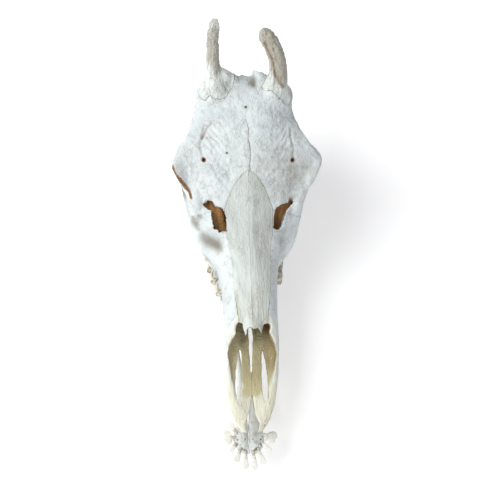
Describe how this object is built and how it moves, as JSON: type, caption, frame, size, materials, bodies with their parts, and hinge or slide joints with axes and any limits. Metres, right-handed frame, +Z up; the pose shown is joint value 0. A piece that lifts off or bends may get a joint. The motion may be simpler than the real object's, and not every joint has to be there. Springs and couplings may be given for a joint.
{
  "type": "giraffe skull",
  "caption": "Still model of a large hoofed animal's skull with blunt horn cores, long tapering snout, cheek teeth and a lower jaw that it rests on.",
  "frame": {"origin": "centre of the footprint on the floor, under the middle of the skull's box", "axes": "+Z up, +Y towards the back of the skull and -Y towards the snout, +X to the animal's left"},
  "size_m": [0.237, 0.6314, 0.3551],
  "materials": {
    "cranium_bone": "matt bone, pale bluish white",
    "nasal_bone": "matt bone, pale greenish grey",
    "maxilla_bone": "matt bone, off-white",
    "premaxilla_bone": "matt bone, cream",
    "ossicone_bone": "rough matt bone, grey-brown",
    "mandible_bone": "matt bone, off-white"
  },
  "bodies": {
    "root": {"cranium": "cranium_bone", "nasal_left": "nasal_bone", "nasal_right": "nasal_bone", "maxilla_left": "maxilla_bone", "maxilla_right": "maxilla_bone", "premaxilla_left": "premaxilla_bone", "premaxilla_right": "premaxilla_bone", "ossicone_left": "ossicone_bone", "ossicone_right": "ossicone_bone", "mandible_left": "mandible_bone", "mandible_right": "mandible_bone"}
  },
  "joints": []
}
